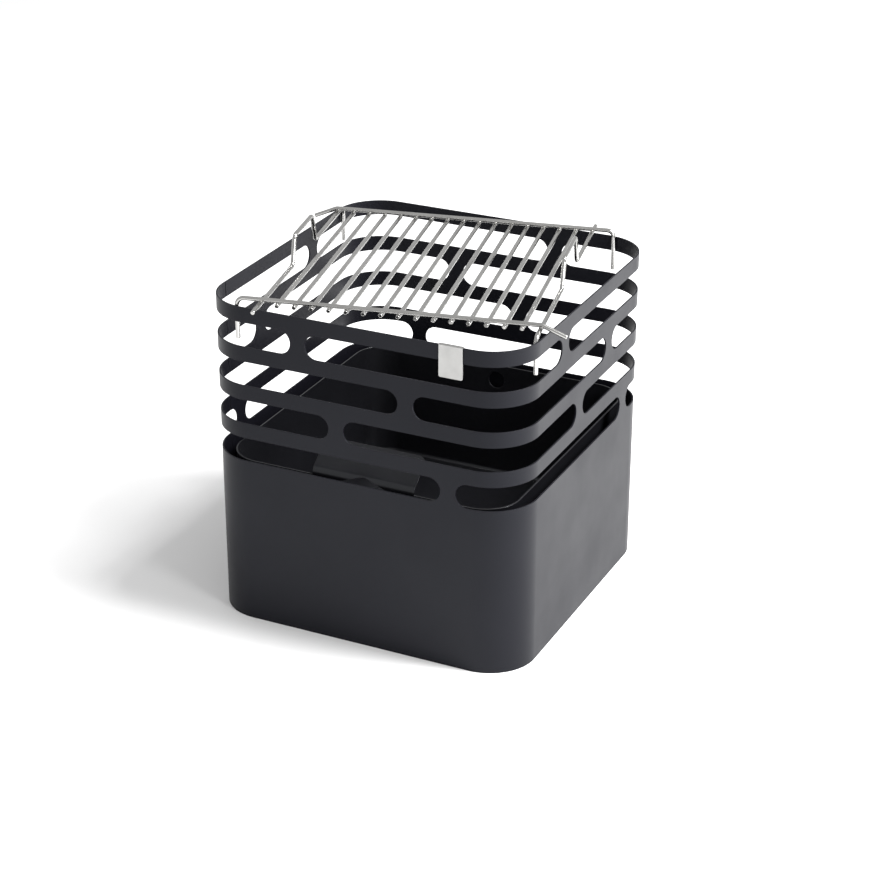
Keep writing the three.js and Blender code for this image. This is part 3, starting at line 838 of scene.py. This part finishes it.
def makeBar(name, node, plane, line, heading, offset, flipped=False):
    # A round bar: a circle carried along a bent line. plane is "x" where the line lies in X and Z
    # and "y" where it lies in Y and Z; offset is its place on the third axis.
    radius, chamfer = grate["radius"], grate["chamfer"]
    turn = np.linspace(0, math.pi / 2, 4)
    ends = np.stack([
        chamfer * (1 - np.cos(turn)),
        radius - chamfer + chamfer * np.sin(turn),
        np.cos(turn),
    ], -1)
    travelled = np.concatenate([[0], np.cumsum(np.linalg.norm(np.diff(line, axis=0), axis=1))])
    keep = (travelled > chamfer * 1.01) & (travelled < travelled[-1] - chamfer * 1.01)
    at = np.concatenate([[0.0], ends[:, 0], travelled[keep], travelled[-1] - ends[::-1, 0], [travelled[-1]]])
    size = np.concatenate([[0.0], ends[:, 1], np.full(keep.sum(), radius), ends[::-1, 1], [0.0]])
    axial = np.concatenate([[-1.0], -ends[:, 2], np.zeros(keep.sum()), ends[::-1, 2], [1.0]])
    centre = np.stack([np.interp(at, travelled, line[:, i]) for i in range(2)], -1)
    angle = np.interp(at, travelled, heading)
    around = np.linspace(0, 2 * math.pi, grate["sides"], endpoint=False)
    along = np.stack([np.cos(angle), np.sin(angle)], -1)
    upward = np.stack([-np.sin(angle), np.cos(angle)], -1)
    side = np.cos(around)[None, :] * size[:, None]
    lift = np.sin(around)[None, :] * size[:, None]
    first = centre[:, None, 0] + lift * upward[:, None, 0]
    height = centre[:, None, 1] + lift * upward[:, None, 1]
    radial = np.sqrt(1 - axial ** 2)
    normalFirst = along[:, None, 0] * axial[:, None] + upward[:, None, 0] * np.sin(around) * radial[:, None]
    normalUp = along[:, None, 1] * axial[:, None] + upward[:, None, 1] * np.sin(around) * radial[:, None]
    normalSide = np.cos(around)[None, :] * radial[:, None]
    if plane == "x":
        points = np.stack([first, offset - side, height], -1)
        normals = np.stack([normalFirst, -normalSide, normalUp], -1)
    else:
        points = np.stack([offset + side, first, height], -1)
        normals = np.stack([normalSide, normalFirst, normalUp], -1)
    spin = turnGrate + (math.pi if flipped else 0.0)
    cosSpin, sinSpin = math.cos(spin), math.sin(spin)
    rotate = np.array([(cosSpin, sinSpin, 0), (-sinSpin, cosSpin, 0), (0, 0, 1)])
    points, normals = (points @ rotate).reshape(-1, 3), (normals @ rotate).reshape(-1, 3)
    sides, count = grate["sides"], len(at)
    ring = np.arange(sides)
    following = (ring + 1) % sides
    start = np.arange(1, count - 2)[:, None] * sides
    quads = np.stack([
        start + ring, start + following, start + sides + following, start + sides + ring,
    ], -1).reshape(-1, 4)[:, ::-1]
    firstPole, lastPole = 0, (count - 1) * sides
    firstFan = np.stack([np.full(sides, firstPole), sides + ring, sides + following], -1)
    lastRing = (count - 2) * sides
    lastFan = np.stack([np.full(sides, lastPole), lastRing + following, lastRing + ring], -1)
    faces = quads.tolist() + firstFan.tolist() + lastFan.tolist()
    used = np.zeros(len(points), bool)
    used[[firstPole, lastPole]] = True
    used[sides:(count - 1) * sides] = True
    renumber = np.cumsum(used) - 1
    faces = [renumber[f].tolist() for f in faces]
    wrap = np.stack(np.broadcast_arrays(around[None, :] / (2 * math.pi), at[:, None]), -1).reshape(-1, 2)
    piece = finishMesh(
        name, points[used], faces, unit(normals[used]), drawnBar, "grate", wrap[used],
    )
    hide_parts(node)
    return piece


def barLine(corners, radii):
    # A bar's centre line thinned to what its bends need.
    travelled, line, heading = foldLine(corners, radii, grate["bendStep"])
    change = np.abs(np.diff(heading, prepend=heading[0])) > 1e-5
    near = change | np.roll(change, 1) | np.roll(change, -1)
    near[[0, -1]] = True
    near[::12] = True
    return line[near], heading[near]


def localBox(node, flipped):
    low, high = turnedBox(node)
    if flipped:
        low, high = np.array([-high[0], -high[1], low[2]]), np.array([-low[0], -low[1], high[2]])
    return low, high


def makeLongBars(outerBar):
    radius = grate["radius"]
    slope = math.atan(grate["hookSlope"])
    for side, flipped in (("front", False), ("back", True)):
        low, high = localBox("grate_long_bar_" + side, flipped)
        topZ = high[2] - radius
        hookX = high[0] - radius * math.sin(slope)
        turnX = outerBar + grate["hookStart"]
        corners = [
            (low[0] + radius, low[2]), (low[0] + radius, topZ), (turnX, topZ),
            (hookX, topZ - grate["hookSlope"] * (hookX - turnX)),
        ]
        line, heading = barLine(corners, [grate["legBend"], grate["hookBend"]])
        offset = (low[1] + high[1]) / 2
        name = "grateLongBar" + side.capitalize()
        makeBar(name, "grate_long_bar_" + side, "x", line, heading, offset, flipped)


def makeHandleBars(crossZ):
    radius = grate["radius"]
    foot, top = grate["handleFoot"] / 2, grate["handleTop"] / 2
    for side, flipped in (("left", False), ("right", True)):
        shift = -grate["handleShift"] if flipped else grate["handleShift"]
        low, high = localBox("grate_handle_bar_" + side, flipped)
        topZ, legY = high[2] - radius, high[1] - radius
        corners = [
            (low[1], crossZ), (shift - foot, crossZ), (shift - top, topZ), (shift + top, topZ),
            (shift + foot, crossZ), (legY, crossZ), (legY, low[2]),
        ]
        radii = [grate["handleBend"]] * 4 + [grate["legBend"]]
        line, heading = barLine(corners, radii)
        offset = (low[0] + high[0]) / 2
        name = "grateHandleBar" + side.capitalize()
        makeBar(name, "grate_handle_bar_" + side, "y", line, heading, offset, flipped)


def makeCrossBars():
    names = sorted(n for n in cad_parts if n.startswith("grate_cross_bar_"))
    places = []
    for node in names:
        low, high = turnedBox(node)
        x, z = (low[0] + high[0]) / 2, (low[2] + high[2]) / 2
        line = np.column_stack([np.linspace(low[1], high[1], 24), np.full(24, z)])
        makeBar("grateCrossBar" + node[-2:], node, "y", line, np.zeros(24), x)
        places.append(x)
    return np.array(places), z


def makeWelds(barXs, longY, seamZ):
    # Weld nuggets where bars cross: flattened balls, all in one mesh.
    wide, tall = grate["weldWide"], grate["weldHigh"]
    around = np.linspace(0, 2 * math.pi, 10, endpoint=False)
    rise = np.linspace(-math.pi / 2, math.pi / 2, 7)[1:-1]
    ball = np.stack([
        np.outer(np.cos(rise), np.cos(around)),
        np.outer(np.cos(rise), np.sin(around)),
        np.repeat(np.sin(rise)[:, None], len(around), axis=1),
    ], -1).reshape(-1, 3)
    ball = np.vstack([ball, [(0, 0, -1), (0, 0, 1)]])
    rows, sides = len(rise), len(around)
    ring = np.arange(sides)
    following = (ring + 1) % sides
    start = np.arange(rows - 1)[:, None] * sides
    quads = np.stack([start + ring, start + following, start + sides + following, start + sides + ring], -1)
    bottom = np.stack([np.full(sides, rows * sides), following, ring], -1)
    last = (rows - 1) * sides
    top = np.stack([np.full(sides, rows * sides + 1), last + ring, last + following], -1)
    own = quads.reshape(-1, 4).tolist() + bottom.tolist() + top.tolist()
    x, y = (grid.ravel() for grid in np.meshgrid(barXs, longY))
    centres = np.column_stack([
        x * math.cos(turnGrate) - y * math.sin(turnGrate),
        x * math.sin(turnGrate) + y * math.cos(turnGrate),
        np.full(len(x), seamZ),
    ])
    points = (centres[:, None, :] + ball[None] * [wide, wide, tall]).reshape(-1, 3)
    normals = np.tile(unit(ball / [wide, wide, tall]), (len(centres), 1))
    faces = [[i + n * len(ball) for i in f] for n in range(len(centres)) for f in own]
    wrap = np.tile(ball[:, :2] * 0.1, (len(centres), 1))
    finishMesh("grateWelds", points, faces, normals, drawnBar, "grate", wrap)


def makeGrate():
    crossXs, crossZ = makeCrossBars()
    pitch = float(np.diff(np.sort(crossXs)).mean())
    outerBar = float(np.abs(crossXs).max()) + pitch
    makeLongBars(outerBar)
    makeHandleBars(crossZ)
    low, high = turnedBox("grate_long_bar_front")
    longY = (low[1] + high[1]) / 2
    seamZ = (crossZ + high[2] - grate["radius"]) / 2
    barXs = np.concatenate([[-outerBar], np.sort(crossXs), [outerBar]])
    makeWelds(barXs, np.array([longY, -longY]), seamZ)
    print("grate:", len(crossXs) + 4, "bars,", 2 * len(barXs), "welds")


makeGrate()
